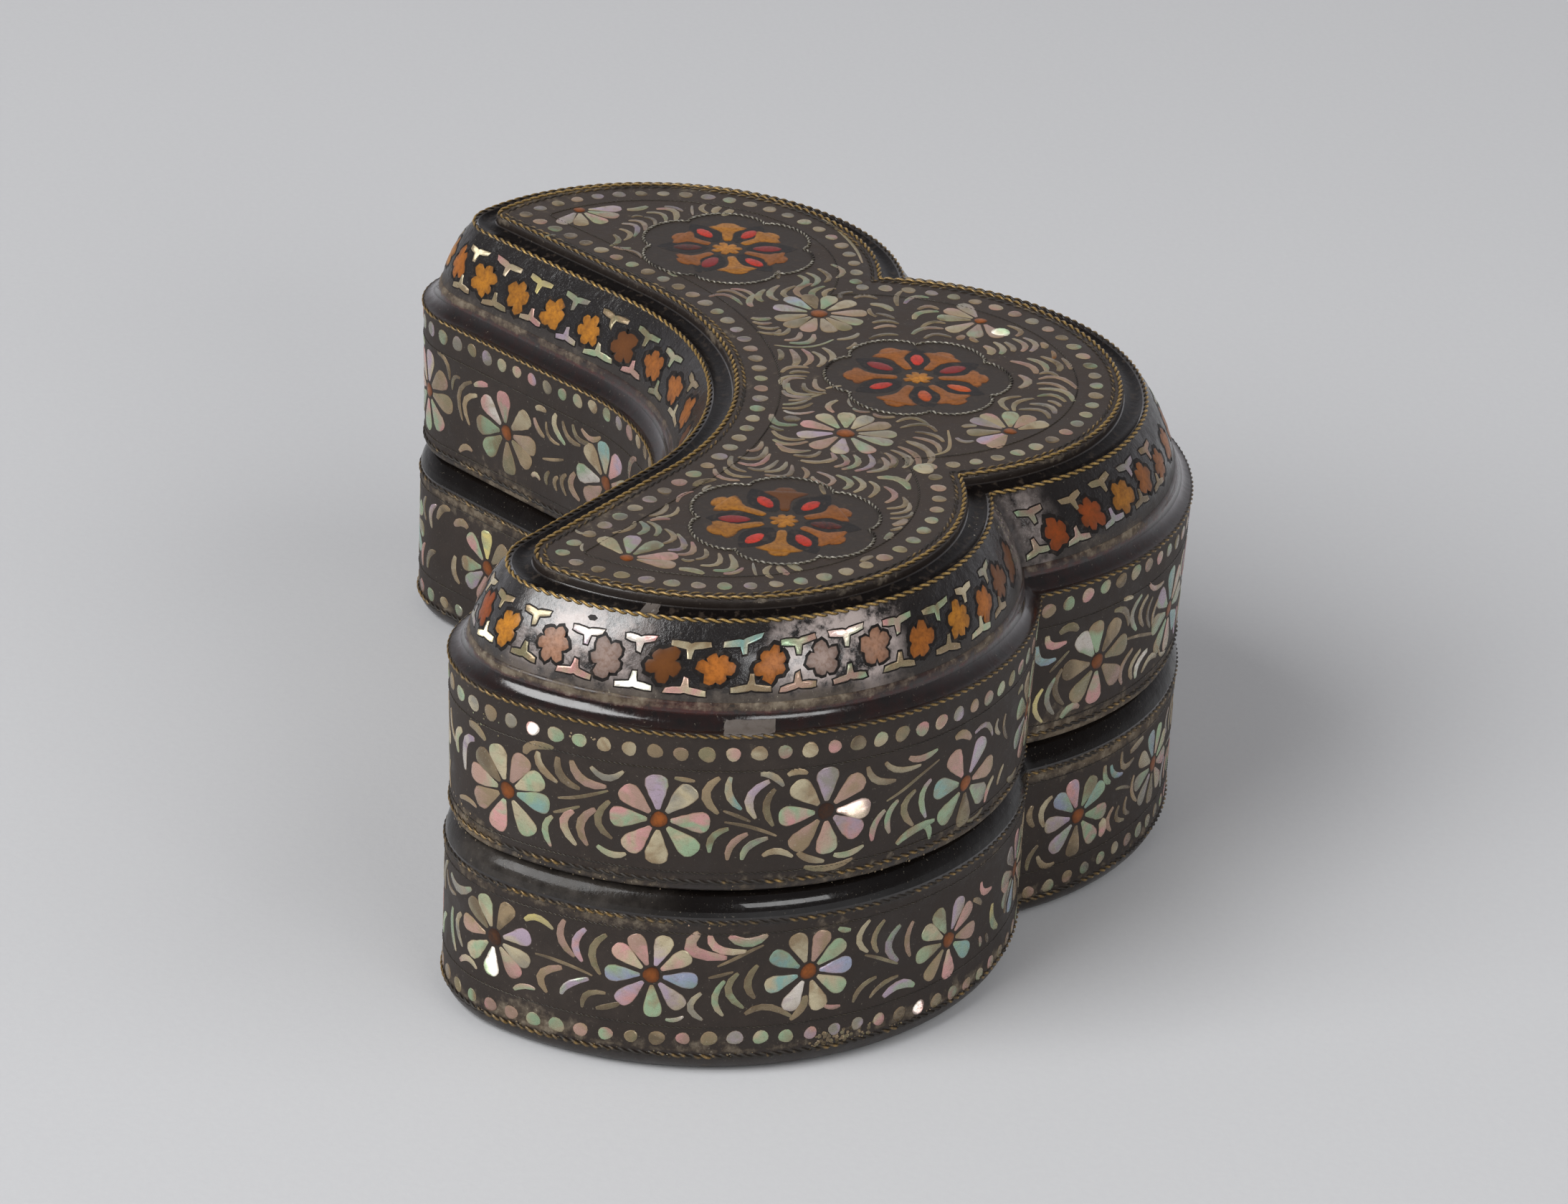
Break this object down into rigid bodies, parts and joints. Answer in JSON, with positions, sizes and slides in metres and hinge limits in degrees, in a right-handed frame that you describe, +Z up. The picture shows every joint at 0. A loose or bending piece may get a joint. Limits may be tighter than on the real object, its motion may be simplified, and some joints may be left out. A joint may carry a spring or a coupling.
{
  "type": "covered lacquer food box",
  "caption": "Covered lacquer food box with a three-lobed plan, a lift-off lid with a sloping shoulder, and inlaid flower scrolls.",
  "frame": {"origin": "centre of the bounding box at the underside, on the surface the box stands on", "axes": "+X along the length toward the slimmer end lobe, +Y toward the hollow side of the plan (the middle lobe bulges toward -Y), +Z up"},
  "size_m": [0.102, 0.068, 0.041],
  "materials": {
    "base_lacquer": "worn black-brown lacquer over wood, inlaid with mother-of-pearl flowers and scrolls and twisted brass wire",
    "lid_lacquer": "worn black-brown lacquer over wood, inlaid with mother-of-pearl, tortoiseshell over red and yellow, and twisted brass wire"
  },
  "bodies": {
    "root": {"base_box": "base_lacquer", "lid": "lid_lacquer"}
  },
  "joints": []
}
